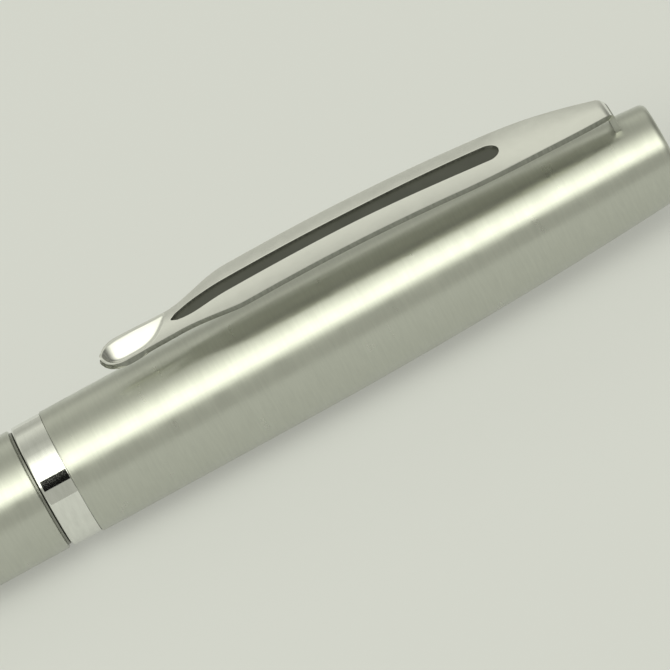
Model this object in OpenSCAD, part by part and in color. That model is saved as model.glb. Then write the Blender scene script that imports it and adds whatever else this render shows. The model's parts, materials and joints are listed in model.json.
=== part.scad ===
// Technical pen, capped, lying along X.
// Origin: centre of the barrel's flat rear face. +X runs to the top of the cap, +Z points at the clip.

/* [Overall] */
// Length of the capped pen, end to end
pen_l = 140; // [138:0.5:144]
// Length of the cap with its lip ring, from the seam to the flat top
cap_l = 56; // [55:0.5:57]
// Diameter of the straight part of the barrel
barrel_d = 10.4; // [10.3:0.1:10.6]
// Diameter of the straight part of the cap
cap_d = 10.6; // [10.5:0.1:10.8]
// Diameter that both tapered ends run down to
end_d = 7.8; // [7.6:0.1:8]
// Width of the open seam between barrel and cap
seam_gap = 0.3; // [0.3:0.05:0.4]
// Rounding of the two end corners
corner_r = 0.9; // [0.6:0.1:1]

/* [Cap] */
// Length of the polished lip ring
band_l = 2.6; // [2.2:0.1:3]
// Diameter of the polished lip ring
band_d = 10.5; // [10.4:0.1:10.6]
// Bore of the cap that slides over the grip section
cap_bore_d = 9.5; // [9.5:0.05:9.6]
// Distance from the seam at which the cap starts to taper
cap_taper_start = 20; // [18:1:24]

/* [Clip] */
// Distance from the seam to the clip's tip
clip_tip = 9.1; // [8.6:0.1:9.4]
// Distance from the seam to the top of the clip's arch
clip_apex = 25.5; // [24:0.5:27]
// Height of the clip's outer face at the top of its arch, from the pen's axis
clip_h = 8.42; // [8.3:0.02:8.6]
// Widest width of the clip
clip_w = 5.5; // [5:0.1:5.6]
// Thickness of the clip's sheet
clip_t = 0.5; // [0.4:0.05:0.55]
// Width of the long slot in the clip
slot_w = 1.5; // [1.2:0.1:1.6]
// Depth of the spoon at the clip's tip
spoon_depth = 1.1; // [0.8:0.1:1.2]

/* [Grip and nib] */
// Length of the grip section in front of the barrel
grip_l = 28; // [27.5:0.1:28]
// Diameter of the grip section next to the barrel
grip_d = 9.2; // [9:0.1:9.2]
// Outer diameter of the drawing tube
tube_d = 0.5; // [0.45:0.05:0.7]
// Diameter of the cleaning wire inside the drawing tube
wire_d = 0.16; // [0.14:0.01:0.18]
// Free travel of the cleaning wire and its weight
wire_travel = 1.5; // [1:0.1:1.5]

/* [Ink] */
// Outer diameter of the ink cartridge
cartridge_d = 7; // [6.6:0.1:7.2]
// Length of the ink cartridge with its collar
cartridge_l = 56; // [50:1:56]

/* [Hidden] */

$fn = 96;
fit = 0.05;              // radial clearance of a running fit
face_gap = 0.03;         // clearance between faces that close on each other
edge = 0.15;             // chamfer of a turned edge
press = 0.02;            // clearance that stands for a pressed-in fit

// Places along X
seam_x = pen_l - cap_l;
barrel_x = seam_x - seam_gap / 2;
lip_x = seam_x + seam_gap / 2;
shell_x = lip_x + band_l;
grip_x = seam_x + grip_l;
cap_taper_x = seam_x + cap_taper_start;

// Barrel
barrel_r = barrel_d / 2;
end_r = end_d / 2;
barrel_taper_x = 34;
barrel_bore_r = 4.7;
mid_bore_r = 4;
mid_bore_x = 14;
plug_r = 3.3;
plug_x = 5;
plug_l = 8;
plug_wall = 0.8;

// Thread insert and the grip section's spigot
spigot_r = 4.2;
spigot_l = 10;
insert_l = 12;
insert_flange_r = 4.95;  // thin flange that shows in the seam
insert_lip = 0.07;       // how far the flange stands in front of the seam
seal_t = 0.3;
seal_out_r = 4.5;
seal_x = seam_x - face_gap - seal_t;
section_bore_r = 2.95;
section_bore_l = 26;

// Grip section
grip_r = grip_d / 2;
waist_r = 3.95;
front_r = 3.65;
ring_x = seam_x + 3.2;
ring_w = 1;
ring_in_r = 4.3;
rib_n = 7;
rib_pitch = 1.6;
rib_depth = 0.18;
rib_x = seam_x + 10;
waist_share = 0.45;      // part of the drop to the waist that is hollowed between both ends
front_run = 0.5;         // length of the rounded front edge
front_drop = 0.35;       // how much the front edge is rounded inwards

// Nib unit
stem_r = 2.9;
stem_l = 9;
flange_l = 0.9;
flange_r = 3.2;
cone_l = 5.2;
cone_r = 2.5;
size_ring_l = 1.1;
nib_seal_t = 0.8;
spiral_r = 2.6;
spiral_core_r = 2;
nib_seal_r = spiral_core_r + fit;
spiral_n = 8;
nipple_r = 1.2;
nipple_l = 7;
nipple_bore_r = 0.7;
chamber_r = 1.3;
weight_r = chamber_r - 0.06;
weight_l = 7.5;
plug_t = 1.2;
plug_bore_r = 0.4;
sleeve_r = 0.65;
sleeve_in = 2.5;         // length of the sleeve held inside the nib
sleeve_out = 2.6;        // length of the sleeve in front of the nib
tube_out = 5.6;          // length of the drawing tube in front of the nib
wire_back = 0.15;        // how far the wire's end stays behind the tube's mouth
cone_tip_r = 1.1;
tube_r = tube_d / 2;
tube_bore_r = wire_d / 2 + 0.06;
nib_front_x = grip_x + flange_l + cone_l;
tube_x = nib_front_x + tube_out;
core_x = grip_x - 20;     // rear end of the nib's core, where the nipple starts
chamber_x0 = core_x + 0.6;
weight_x = chamber_x0 + plug_t;
chamber_x1 = weight_x + weight_l + wire_travel + 0.3;

// Ink cartridge
cartridge_r = cartridge_d / 2;
cartridge_wall = 0.5;
collar_r = 2.85;
collar_x = seam_x - spigot_l - 0.6;
collar_l = 17;
cartridge_x = collar_x + collar_l - cartridge_l;
cartridge_edge = 0.6;
cartridge_floor = 1.2;
mouth_r = 1.9;
mouth_t = 0.8;           // thickness of the cartridge's mouth
shoulder_l = 1.5;        // length of the cartridge's shoulder
collar_in = 2;           // length of the collar inside the cartridge's mouth
collar_edge = 0.4;

// Cap
cap_r = cap_d / 2;
cap_bore_r = cap_bore_d / 2;
band_r = band_d / 2;
band_spigot_r = 5;
band_spigot_l = 2;
liner_x = grip_x + 0.2;
liner_flange_l = 1.2;
liner_r = 3.9;
liner_bore_r = 3.45;
liner_tip_r = 3;
liner_end_x = seam_x + 45.6;
holder_x = seam_x + 46;
holder_r = 3.3;
cap_end_wall = 1.3;
cap_seal_t = 0.7;
seal_in_r = 3.3;
liner_floor = 1.2;

// Clip
clip_r1 = 124;           // arch radius towards the tip
clip_r2 = 200;           // arch radius towards the root
neck_x = seam_x + 15.3;
spoon_l = 15.3 - clip_tip;
clip_tip_x = seam_x + clip_tip;
clip_apex_x = seam_x + clip_apex;
slot_end_x = seam_x + 44.2;
slot_end_r = 1.05;
slot_run_in = 3;         // length over which the slot widens from its point
clip_run_in = 6;         // length over which the clip widens from its neck
bend_x = pen_l - 3.5;    // where the sheet starts to turn down
bend_r = 1;
root_half = 1.4;         // half width of the clip where the bend starts
tongue_w = 1.8;
tongue_z = 2;
tongue_room = 0.3;
tongue_side = 0.25;      // room at each side of the tongue
tongue_back = 0.2;       // more room on the side the tongue swings to
arch_steps = 24;
inlay_recess = 0.2;      // depth of the inlay's face below the clip's
inlay_flange_w = 2.9;
inlay_flange_t = 0.35;

// Radius of the tapered cap at x, and of the tapered barrel at x
function cap_radius(x) =
    cap_r - (cap_r - end_r) * pow(max(0, x - cap_taper_x) / (pen_l - cap_taper_x), 2);
function barrel_radius(x) =
    barrel_r - (barrel_r - end_r) * pow(max(0, barrel_taper_x - x) / barrel_taper_x, 2);

// Height of the clip's outer face at x, without the spoon
function clip_face(x) =
    clip_h - pow(x - clip_apex_x, 2) / (2 * (x < clip_apex_x ? clip_r1 : clip_r2));
// The same with the spoon pressed down between tip and neck
function spoon_face(x) =
    clip_face(max(x, neck_x)) + 0.1 * (x < neck_x ? 1 : 0)
    - (x < neck_x ? spoon_depth * (1 - cos(360 * (x - clip_tip_x) / spoon_l)) / 2 : 0);
// Stations along the arch, from the neck to the bend
function arch_x(i) = neck_x + (bend_x - neck_x) * i / arch_steps;
function smooth(u) = let (v = min(1, max(0, u))) v * v * (3 - 2 * v);
// Half width of the clip at x
function clip_half(x) =
    let (pad = 1.75, neck = 1.65)
    x < clip_tip_x + pad ? sqrt(max(0, pad * pad - pow(clip_tip_x + pad - x, 2))) :
    x < neck_x ? pad + (neck - pad) * smooth((x - clip_tip_x - pad) / (spoon_l - pad)) :
    x < slot_end_x ? neck + (clip_w / 2 - neck) * smooth((x - neck_x) / clip_run_in) :
    clip_w / 2 + (root_half - clip_w / 2) * (x - slot_end_x) / (bend_x - slot_end_x);

// Spins an outline of [radius, x] points about the pen's axis
module turned(points) {
    rotate([0, 90, 0]) rotate_extrude() polygon(points);
}

// Plain tube or ring along X from x0 to x1
module ring(x0, x1, outer, inner) {
    turned([[inner, x0], [outer, x0], [outer, x1], [inner, x1]]);
}

module barrel_tube() {
    steps = 12;
    color("silver") turned(concat(
        [[plug_r, plug_x]],
        [for (i = [0:steps]) let (x = plug_x + (barrel_taper_x - plug_x) * i / steps)
            [barrel_radius(x), x]],
        [[barrel_r, barrel_x - edge], [barrel_r - edge, barrel_x], [barrel_bore_r, barrel_x],
         [barrel_bore_r, barrel_taper_x], [mid_bore_r, barrel_taper_x - 2],
         [mid_bore_r, mid_bore_x], [plug_r, mid_bore_x]]));
}

module rear_plug() {
    steps = 6;
    side_r = barrel_radius(corner_r);
    color("silver") turned(concat(
        [[0, 0]],
        [for (i = [0:steps]) let (a = 90 * i / steps)
            [side_r - corner_r + corner_r * sin(a), corner_r * (1 - cos(a))]],
        [[barrel_radius(plug_x), plug_x], [plug_r, plug_x], [plug_r, plug_x + plug_l],
         [plug_r - plug_wall, plug_x + plug_l], [plug_r - plug_wall, plug_x], [0, plug_x]]));
}

module thread_insert() {
    color("gainsboro") turned([
        [spigot_r + fit, barrel_x - insert_l], [barrel_bore_r, barrel_x - insert_l],
        [barrel_bore_r, barrel_x], [insert_flange_r, barrel_x],
        [insert_flange_r, seam_x + insert_lip], [grip_r + fit, seam_x + insert_lip],
        [grip_r + fit, seam_x - face_gap], [seal_out_r + fit, seam_x - face_gap],
        [seal_out_r + fit, seal_x], [spigot_r + fit, seal_x]]);
}

module section_seal() {
    color("black") ring(seal_x, seal_x + seal_t, seal_out_r, spigot_r + fit / 2);
}

module grip_section() {
    steps = 10;
    straight_x = ring_x + ring_w + 1;
    function grip_at(x) = let (u = (x - straight_x) / (grip_x - straight_x))
        grip_r + (front_r - grip_r) * u - (grip_r - waist_r) * waist_share * sin(180 * u);
    color("dimgray") difference() {
        turned(concat(
            [[section_bore_r, seam_x - spigot_l], [spigot_r, seam_x - spigot_l],
             [spigot_r, seam_x], [grip_r, seam_x], [grip_r, ring_x], [ring_in_r, ring_x],
             [ring_in_r, ring_x + ring_w], [grip_r, ring_x + ring_w]],
            [for (i = [0:steps]) let (x = straight_x + (grip_x - front_run - straight_x) * i / steps)
                [grip_at(x), x]],
            [[grip_at(grip_x) - front_drop, grip_x], [stem_r + fit, grip_x],
             [stem_r + fit, grip_x - stem_l], [section_bore_r - 0.1, grip_x - stem_l],
             [section_bore_r - 0.1, seam_x - spigot_l + section_bore_l],
             [section_bore_r, seam_x - spigot_l + section_bore_l]]));
        for (i = [0:rib_n - 1]) let (x = rib_x + i * rib_pitch)
            ring(x, x + rib_pitch / 2, grip_r + 1, grip_at(x + rib_pitch / 4) - rib_depth);
    }
}

module snap_ring() {
    split = 1.2;
    color("gainsboro") difference() {
        ring(ring_x + fit, ring_x + ring_w - fit, cap_bore_r - fit, ring_in_r + press);
        translate([ring_x, -split / 2, -cap_bore_r - 1]) cube([ring_w, split, 3]);
    }
}

module nib_seal() {
    x = grip_x - stem_l - 0.1 - nib_seal_t;
    color("black") ring(x, x + nib_seal_t, section_bore_r - 0.15, nib_seal_r);
}

module nib_body() {
    color("whitesmoke") turned([
        [nipple_bore_r, core_x - nipple_l], [nipple_r, core_x - nipple_l],
        [nipple_r, core_x], [spiral_core_r, core_x],
        [spiral_core_r, grip_x - stem_l], [stem_r, grip_x - stem_l], [stem_r, grip_x],
        [flange_r, grip_x], [flange_r, grip_x + flange_l], [cone_r, grip_x + flange_l],
        [cone_r, grip_x + flange_l + size_ring_l], [cone_tip_r, nib_front_x],
        [sleeve_r, nib_front_x],
        [sleeve_r, nib_front_x - sleeve_in], [tube_r, nib_front_x - sleeve_in], [tube_r, chamber_x1],
        [chamber_r, chamber_x1], [chamber_r, chamber_x0], [nipple_bore_r, chamber_x0]]);
}

module air_spiral() {
    x0 = core_x + 0.2;
    pitch = (grip_x - stem_l - nib_seal_t - 0.3 - x0) / spiral_n;
    color("whitesmoke") turned(concat(
        [[spiral_core_r, x0]],
        [for (i = [0:spiral_n - 1]) let (x = x0 + i * pitch)
            each [[spiral_r, x], [spiral_r, x + pitch * 0.6],
                  [spiral_core_r + 0.15, x + pitch * 0.6], [spiral_core_r + 0.15, x + pitch]]],
        [[spiral_core_r, x0 + spiral_n * pitch]]));
}

module size_ring() {
    color("firebrick")
        ring(grip_x + flange_l, grip_x + flange_l + size_ring_l, flange_r - 0.15, cone_r);
}

module nib_sleeve() {
    color("lightgray") ring(nib_front_x - sleeve_in, nib_front_x + sleeve_out, sleeve_r, tube_r);
}

module drawing_tube() {
    color("lightgray") ring(chamber_x1, tube_x, tube_r, tube_bore_r);
}

module weight_plug() {
    color("white") ring(chamber_x0, weight_x, chamber_r, plug_bore_r);
}

module cleaning_wire() {
    start_x = weight_x + weight_l;
    color("gainsboro") translate([start_x, 0, 0]) rotate([0, 90, 0])
        cylinder(h = tube_x - wire_back - start_x, d = wire_d, $fn = 24);
}

module wire_weight() {
    nose_x = weight_x + weight_l;
    color("gray") turned([
        [0, weight_x], [weight_r - 0.3, weight_x], [weight_r, weight_x + 0.3],
        [weight_r, nose_x - 1], [0.3, nose_x], [0, nose_x]]);
}

module cartridge_tube() {
    x1 = collar_x - collar_edge;
    inner = cartridge_r - cartridge_wall;
    color("ivory", 0.6) turned([
        [0, cartridge_x], [cartridge_r - cartridge_edge, cartridge_x],
        [cartridge_r, cartridge_x + cartridge_edge], [cartridge_r, x1 - shoulder_l],
        [collar_r - collar_edge, x1], [mouth_r, x1], [mouth_r, x1 - mouth_t],
        [inner, x1 - shoulder_l - cartridge_wall], [inner, cartridge_x + cartridge_floor],
        [0, cartridge_x + cartridge_floor]]);
}

module cartridge_collar() {
    color("whitesmoke") turned([
        [mouth_r, collar_x - collar_in], [mouth_r, collar_x - collar_edge],
        [collar_r - collar_edge, collar_x - collar_edge], [collar_r, collar_x],
        [collar_r, collar_x + collar_l - collar_edge],
        [collar_r - collar_edge, collar_x + collar_l], [nipple_r + fit, collar_x + collar_l],
        [nipple_r + fit, collar_x - collar_in]]);
}

// Room for the clip's tongue in the cap and in the holder
module tongue_slot() {
    front_x = bend_x + bend_r - clip_t - tongue_back - tongue_room;
    width = tongue_w + 2 * tongue_side;
    translate([front_x, -width / 2, tongue_z - tongue_room])
        cube([clip_t + tongue_back + 2 * tongue_room, width, end_r]);
}

module cap_shell() {
    steps = 14;
    turn = 6;
    side_r = cap_radius(pen_l - corner_r);
    wall_x = pen_l - cap_end_wall;
    color("silver") difference() {
        turned(concat(
            [[band_spigot_r, shell_x], [cap_r, shell_x]],
            [for (i = [0:steps])
                let (x = cap_taper_x + (pen_l - corner_r - cap_taper_x) * i / steps)
                [cap_radius(x), x]],
            [for (i = [1:turn]) let (a = 90 * i / turn)
                [side_r - corner_r * (1 - cos(a)), pen_l - corner_r * (1 - sin(a))]],
            [[0, pen_l], [0, wall_x], [holder_r, wall_x], [holder_r, holder_x],
             [liner_r, holder_x], [liner_r, liner_x + liner_flange_l],
             [cap_bore_r, liner_x + liner_flange_l], [cap_bore_r, shell_x + band_spigot_l],
             [band_spigot_r, shell_x + band_spigot_l]]));
        tongue_slot();
    }
}

module lip_ring() {
    color("white") turned([
        [cap_bore_r, lip_x], [band_r - edge, lip_x], [band_r, lip_x + edge],
        [band_r, shell_x], [band_spigot_r, shell_x], [band_spigot_r, shell_x + band_spigot_l],
        [cap_bore_r, shell_x + band_spigot_l]]);
}

module inner_cap() {
    lip_x = liner_x + cap_seal_t;
    step_x = grip_x + 7.5;
    color("dimgray") turned([
        [liner_r, liner_x], [cap_bore_r - press, liner_x],
        [cap_bore_r - press, liner_x + liner_flange_l], [liner_r, liner_x + liner_flange_l],
        [liner_r, liner_end_x], [0, liner_end_x], [0, liner_end_x - liner_floor],
        [liner_tip_r, liner_end_x - liner_floor], [liner_tip_r, step_x],
        [liner_bore_r, step_x], [liner_bore_r, lip_x], [liner_r, lip_x]]);
}

module cap_seal() {
    color("black") ring(liner_x, liner_x + cap_seal_t, liner_r, seal_in_r);
}

module clip_holder() {
    color("goldenrod") difference() {
        ring(holder_x, pen_l - cap_end_wall, holder_r, 0.9);
        tongue_slot();
    }
}

module pocket_clip() {
    pad_steps = 16;
    turn = 6;
    lean = atan((bend_x - clip_apex_x) / clip_r2);
    pivot = [bend_x - bend_r * sin(lean), clip_face(bend_x) - bend_r * cos(lean)];
    face = concat(
        [for (i = [0:pad_steps - 1]) let (x = clip_tip_x + spoon_l * i / pad_steps)
            [x, spoon_face(x)]],
        [for (i = [0:arch_steps]) [arch_x(i), clip_face(arch_x(i))]]);
    bend = [for (i = [1:turn]) let (a = (90 - lean) * (1 - i / turn))
        pivot + bend_r * [cos(a), sin(a)]];
    inner_bend = [for (i = [turn:-1:1]) let (a = (90 - lean) * (1 - i / turn))
        pivot + (bend_r - clip_t) * [cos(a), sin(a)]];
    back = [for (i = [len(face) - 1:-1:0]) face[i] - [0, clip_t]];
    side = concat(face, bend, [[pivot[0] + bend_r, tongue_z]],
        [[pivot[0] + bend_r - clip_t, tongue_z]], inner_bend, back);
    plan_steps = 60;
    plan_x = [for (i = [0:plan_steps])
        clip_tip_x + (bend_x - clip_tip_x) * pow(i / plan_steps, 1.3)];
    neck_in = 0.3;
    color("gainsboro") difference() {
        intersection() {
            translate([0, clip_w, 0]) rotate([90, 0, 0])
                linear_extrude(height = 2 * clip_w) polygon(side);
            linear_extrude(height = 12) polygon(concat(
                [for (x = plan_x) [x, clip_half(x)]],
                [[bend_x + neck_in, tongue_w / 2], [pen_l, tongue_w / 2],
                 [pen_l, -tongue_w / 2], [bend_x + neck_in, -tongue_w / 2]],
                [for (i = [plan_steps:-1:0]) [plan_x[i], -clip_half(plan_x[i])]]));
        }
        clip_slot();
    }
}

// Long slot: pointed at the neck, full width over the arch, round at the root end
module clip_slot() {
    steps = 12;
    full_x = neck_x + slot_run_in;
    slot_x = [for (i = [0:steps]) neck_x + 0.4 + (full_x - neck_x - 0.4) * i / steps];
    function half(x) = 0.12 + (slot_w / 2 - 0.12) * smooth((x - neck_x - 0.4) / (full_x - neck_x));
    translate([0, 0, 3]) linear_extrude(height = 8) union() {
        polygon(concat(
            [for (x = slot_x) [x, half(x)]],
            [[slot_end_x - 0.6, slot_w / 2], [slot_end_x - 0.6, -slot_w / 2]],
            [for (i = [steps:-1:0]) [slot_x[i], -half(slot_x[i])]]));
        translate([slot_end_x - slot_end_r, 0]) circle(r = slot_end_r, $fn = 48);
    }
}

// Strip that follows the clip's outer face between two stations and two depths below it
module face_strip(first, last, top, bottom, width) {
    translate([0, width / 2, 0]) rotate([90, 0, 0]) linear_extrude(height = width) polygon(concat(
        [for (i = [first:last]) [arch_x(i), clip_face(arch_x(i)) - top]],
        [for (i = [last:-1:first]) [arch_x(i), clip_face(arch_x(i)) - bottom]]));
}

module clip_inlay() {
    last = 19;           // first station past the slot's round end
    color("black") union() {
        intersection() {
            face_strip(0, last, inlay_recess, clip_t, clip_w);
            clip_slot();
        }
        face_strip(1, last, clip_t, clip_t + inlay_flange_t, inlay_flange_w);
    }
}

barrel_tube();
rear_plug();
thread_insert();
section_seal();
grip_section();
snap_ring();
nib_seal();
nib_body();
air_spiral();
size_ring();
nib_sleeve();
drawing_tube();
weight_plug();
cleaning_wire();
wire_weight();
cartridge_tube();
cartridge_collar();
cap_shell();
lip_ring();
inner_cap();
cap_seal();
clip_holder();
pocket_clip();
clip_inlay();
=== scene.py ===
"""Technical pen: finished meshes, materials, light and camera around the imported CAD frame."""

import json
import math

import bmesh
import bpy
from mathutils import Matrix, Vector


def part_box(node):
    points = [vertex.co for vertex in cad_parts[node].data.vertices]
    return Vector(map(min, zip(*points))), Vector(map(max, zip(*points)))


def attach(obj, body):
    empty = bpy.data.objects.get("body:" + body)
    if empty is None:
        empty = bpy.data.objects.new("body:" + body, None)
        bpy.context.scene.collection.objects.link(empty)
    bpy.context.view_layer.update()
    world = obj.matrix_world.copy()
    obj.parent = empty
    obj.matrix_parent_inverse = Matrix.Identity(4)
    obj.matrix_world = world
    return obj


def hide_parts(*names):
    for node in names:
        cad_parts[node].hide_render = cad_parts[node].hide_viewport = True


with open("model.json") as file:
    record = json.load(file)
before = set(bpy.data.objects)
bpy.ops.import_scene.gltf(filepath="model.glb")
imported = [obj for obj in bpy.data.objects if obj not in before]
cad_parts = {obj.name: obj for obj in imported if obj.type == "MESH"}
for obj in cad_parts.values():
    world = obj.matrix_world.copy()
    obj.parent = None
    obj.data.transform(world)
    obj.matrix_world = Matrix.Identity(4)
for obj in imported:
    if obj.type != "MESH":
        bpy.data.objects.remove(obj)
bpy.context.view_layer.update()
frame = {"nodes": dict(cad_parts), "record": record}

MM = 0.001
TURN = 2 * math.pi


def span(node):
    """Lowest and highest x of a CAD node, and its outer radius, all in mm."""
    low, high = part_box(node)
    return low.x / MM, high.x / MM, high.y / MM


# Driving places and sizes in mm: first those read from the frame, then those that follow or are chosen
TUBE_X0, BARREL_X, BARREL_R = span("barrel_tube")
LIP_X, _, LIP_R = span("lip_ring")
SHELL_X, PEN_L, CAP_R = span("cap_shell")
CLIP_X0, _, CLIP_HALF = span("pocket_clip")
CLIP_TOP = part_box("pocket_clip")[1].z / MM
SPIGOT_X, GRIP_X1, GRIP_R = span("grip_section")
CORE_X, NIB_FRONT, FLANGE_R = span("nib_body")
SEAM_X = (BARREL_X + LIP_X) / 2
STEM_X = GRIP_X1 - 9         # where the nib's threaded stem begins
BARREL_TAPER_X = 34          # the barrel tapers behind this
CAP_TAPER_X = SEAM_X + 20    # the cap tapers in front of this
END_R = 3.9                  # radius of both ends of the pen, before their corners are rounded
CAP_BORE = 4.75
BARREL_PITCH = 1.0           # thread between barrel and grip section
NIB_PITCH = 0.75             # thread between grip section and nib


# ---------------------------------------------------------------- mesh helpers

def finish_mesh(name, bm, body, slot, nodes, sharp=35):
    """Turns a bmesh in mm into a smooth-shaded piece in metres that rides on a body."""
    bmesh.ops.remove_doubles(bm, verts=bm.verts, dist=1e-4)
    bmesh.ops.recalc_face_normals(bm, faces=bm.faces)
    for v in bm.verts:
        v.co *= MM
    mesh = bpy.data.meshes.new(name)
    bm.to_mesh(mesh)
    bm.free()
    for p in mesh.polygons:
        p.use_smooth = True
    mesh.set_sharp_from_angle(angle=math.radians(sharp))
    piece = bpy.data.objects.new(name, mesh)
    bpy.context.scene.collection.objects.link(piece)
    mesh.materials.append(MATERIALS[slot])
    weighted = piece.modifiers.new("even_shading", "WEIGHTED_NORMAL")
    weighted.keep_sharp = True
    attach(piece, body)
    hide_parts(*nodes)
    return piece


def rounded(outline, steps=5):
    """Closed outline of (x, r) or (x, r, fillet) points, with each corner that names one rounded."""
    result = []
    count = len(outline)
    for i, point in enumerate(outline):
        here = Vector(point[:2])
        if len(point) < 3:
            result.append(here)
            continue
        before = Vector(outline[i - 1][:2]) - here
        after = Vector(outline[(i + 1) % count][:2]) - here
        half_angle = before.angle(after) / 2
        reach = point[2] / math.tan(half_angle)
        reach = min(reach, before.length * 0.48, after.length * 0.48)
        start = here + before.normalized() * reach
        end = here + after.normalized() * reach
        for k in range(steps + 1):
            u = k / steps
            result.append(start * (1 - u) ** 2 + here * 2 * u * (1 - u) + end * u ** 2)
    return result


def spin(outline, segments=144):
    """Bmesh of a closed (x, r) outline in mm, spun about the pen's axis."""
    bm = bmesh.new()
    rings = []
    for x, r in outline:
        if r < 1e-4:
            rings.append([bm.verts.new((x, 0, 0))])
            continue
        rings.append([bm.verts.new((x, r * math.sin(TURN * k / segments), r * math.cos(TURN * k / segments)))
                      for k in range(segments)])
    for i, ring in enumerate(rings):
        other = rings[(i + 1) % len(rings)]
        if len(ring) == 1 and len(other) == 1:
            continue
        for k in range(segments):
            j = (k + 1) % segments
            corners = [ring[k % len(ring)], ring[j % len(ring)],
                       other[j % len(other)], other[k % len(other)]]
            corners = list(dict.fromkeys(corners))
            if len(corners) > 2:
                bm.faces.new(corners)
    return bm


def turned(name, outline, body, slot, nodes, steps=5, segments=144):
    """A lathe-turned piece."""
    return finish_mesh(name, spin(rounded(outline, steps), segments), body, slot, nodes)


def skin(bm, rows):
    """Joins equal closed rows of vertices into a tube and closes both its ends."""
    count = len(rows[0])
    for low, high in zip(rows, rows[1:]):
        for k in range(count):
            j = (k + 1) % count
            bm.faces.new((low[k], low[j], high[j], high[k]))
    bm.faces.new(rows[0])
    bm.faces.new(rows[-1])


def add_thread(bm, x0, x1, pitch, root, crest, flat=0.1, base=0.42, segments=64):
    """Adds a right-hand thread's ridge to a bmesh in mm, outwards or inwards, running out at both ends."""
    turns = (x1 - x0) / pitch
    count = int(turns * segments)
    sink = math.copysign(0.08, crest - root)
    rows = []
    for i in range(count + 1):
        u = i / count
        fade = min(1, u * turns * 2, (1 - u) * turns * 2)
        a = -TURN * u * turns
        x = x0 + (x1 - x0) * u
        high = root - sink / 2 + (crest - root + sink / 2) * fade
        profile = ((-base, root - sink), (-flat, high), (flat, high), (base, root - sink))
        rows.append([bm.verts.new((x + dx * pitch, r * math.sin(a), r * math.cos(a))) for dx, r in profile])
    skin(bm, rows)


# ---------------------------------------------------------------- materials

def node_adder(tree):
    """Function that adds a node to a tree and sets its properties or sockets by name."""
    def add(kind, **values):
        node = tree.nodes.new(kind)
        for key, value in values.items():
            if hasattr(node, key):
                setattr(node, key, value)
            else:
                node.inputs[key].default_value = value
        return node

    return add


def new_material(name):
    """A material with its node tree, its shader and the function that adds nodes."""
    mat = bpy.data.materials.new(name)
    mat.use_nodes = True
    tree = mat.node_tree
    return mat, tree, tree.nodes["Principled BSDF"], node_adder(tree)


def maths(tree, add, operation, *values):
    """Output of a maths node whose inputs are sockets or plain numbers."""
    node = add("ShaderNodeMath", operation=operation)
    for socket, value in zip(node.inputs, values):
        if isinstance(value, bpy.types.NodeSocket):
            tree.links.new(value, socket)
        else:
            socket.default_value = value
    return node.outputs[0]


def turning_coordinates(tree, add, along, around):
    """Vector whose x runs along the pen and whose y runs round it, for marks left by turning."""
    place = add("ShaderNodeTexCoord")
    split = add("ShaderNodeSeparateXYZ")
    tree.links.new(place.outputs["Object"], split.inputs[0])
    angle = maths(tree, add, "ARCTAN2", split.outputs["Y"], split.outputs["Z"])
    join = add("ShaderNodeCombineXYZ")
    tree.links.new(maths(tree, add, "MULTIPLY", split.outputs["X"], along), join.inputs["X"])
    tree.links.new(maths(tree, add, "MULTIPLY", angle, around), join.inputs["Y"])
    return join.outputs[0]


def ramp(tree, add, source, low, high, start=0.3, end=0.7, easing="LINEAR"):
    """Maps a source from one range of values on to another."""
    scale = add("ShaderNodeMapRange", interpolation_type=easing)
    limits = {"From Min": start, "From Max": end, "To Min": low, "To Max": high}
    for name, value in limits.items():
        scale.inputs[name].default_value = value
    tree.links.new(source, scale.inputs["Value"])
    return scale.outputs[0]


def two_colours(tree, add, source, dark, light):
    """Colour that wanders between two values with a 0 to 1 source."""
    blend = add("ShaderNodeMapRange", data_type="FLOAT_VECTOR")
    limits = {"From_Min_FLOAT3": (0.3,) * 3, "From_Max_FLOAT3": (0.7,) * 3,
              "To_Min_FLOAT3": dark, "To_Max_FLOAT3": light}
    for name, value in limits.items():
        socket = next(i for i in blend.inputs if i.identifier == name)
        socket.default_value = value
    tree.links.new(source, blend.inputs["Vector"])
    return blend.outputs["Vector"]


def satin_metal():
    """Stainless steel brushed round the axis: fine rings, soft along the pen, crisp round it."""
    mat, tree, shader, add = new_material("satin_metal")
    fine = add("ShaderNodeTexNoise", Scale=1.0, Detail=3.0, Roughness=0.6)
    tree.links.new(turning_coordinates(tree, add, 5000, 2.2), fine.inputs["Vector"])
    broad = add("ShaderNodeTexNoise", Scale=1.0, Detail=3.0, Roughness=0.6)
    tree.links.new(turning_coordinates(tree, add, 700, 1.2), broad.inputs["Vector"])
    tree.links.new(two_colours(tree, add, fine.outputs["Fac"], (0.51, 0.52, 0.47), (0.55, 0.56, 0.505)),
                   shader.inputs["Base Color"])
    tree.links.new(ramp(tree, add, broad.outputs["Fac"], 0.27, 0.39), shader.inputs["Roughness"])
    bump = add("ShaderNodeBump", Strength=0.1, Distance=0.00001)
    tree.links.new(broad.outputs["Fac"], bump.inputs["Height"])
    tree.links.new(bump.outputs[0], shader.inputs["Normal"])
    tangent = add("ShaderNodeTangent", direction_type="RADIAL", axis="X")
    tree.links.new(tangent.outputs[0], shader.inputs["Tangent"])
    shader.inputs["Metallic"].default_value = 0.86
    shader.inputs["Anisotropic"].default_value = 0.7
    shader.inputs["Anisotropic Rotation"].default_value = 0.25
    return mat


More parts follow.
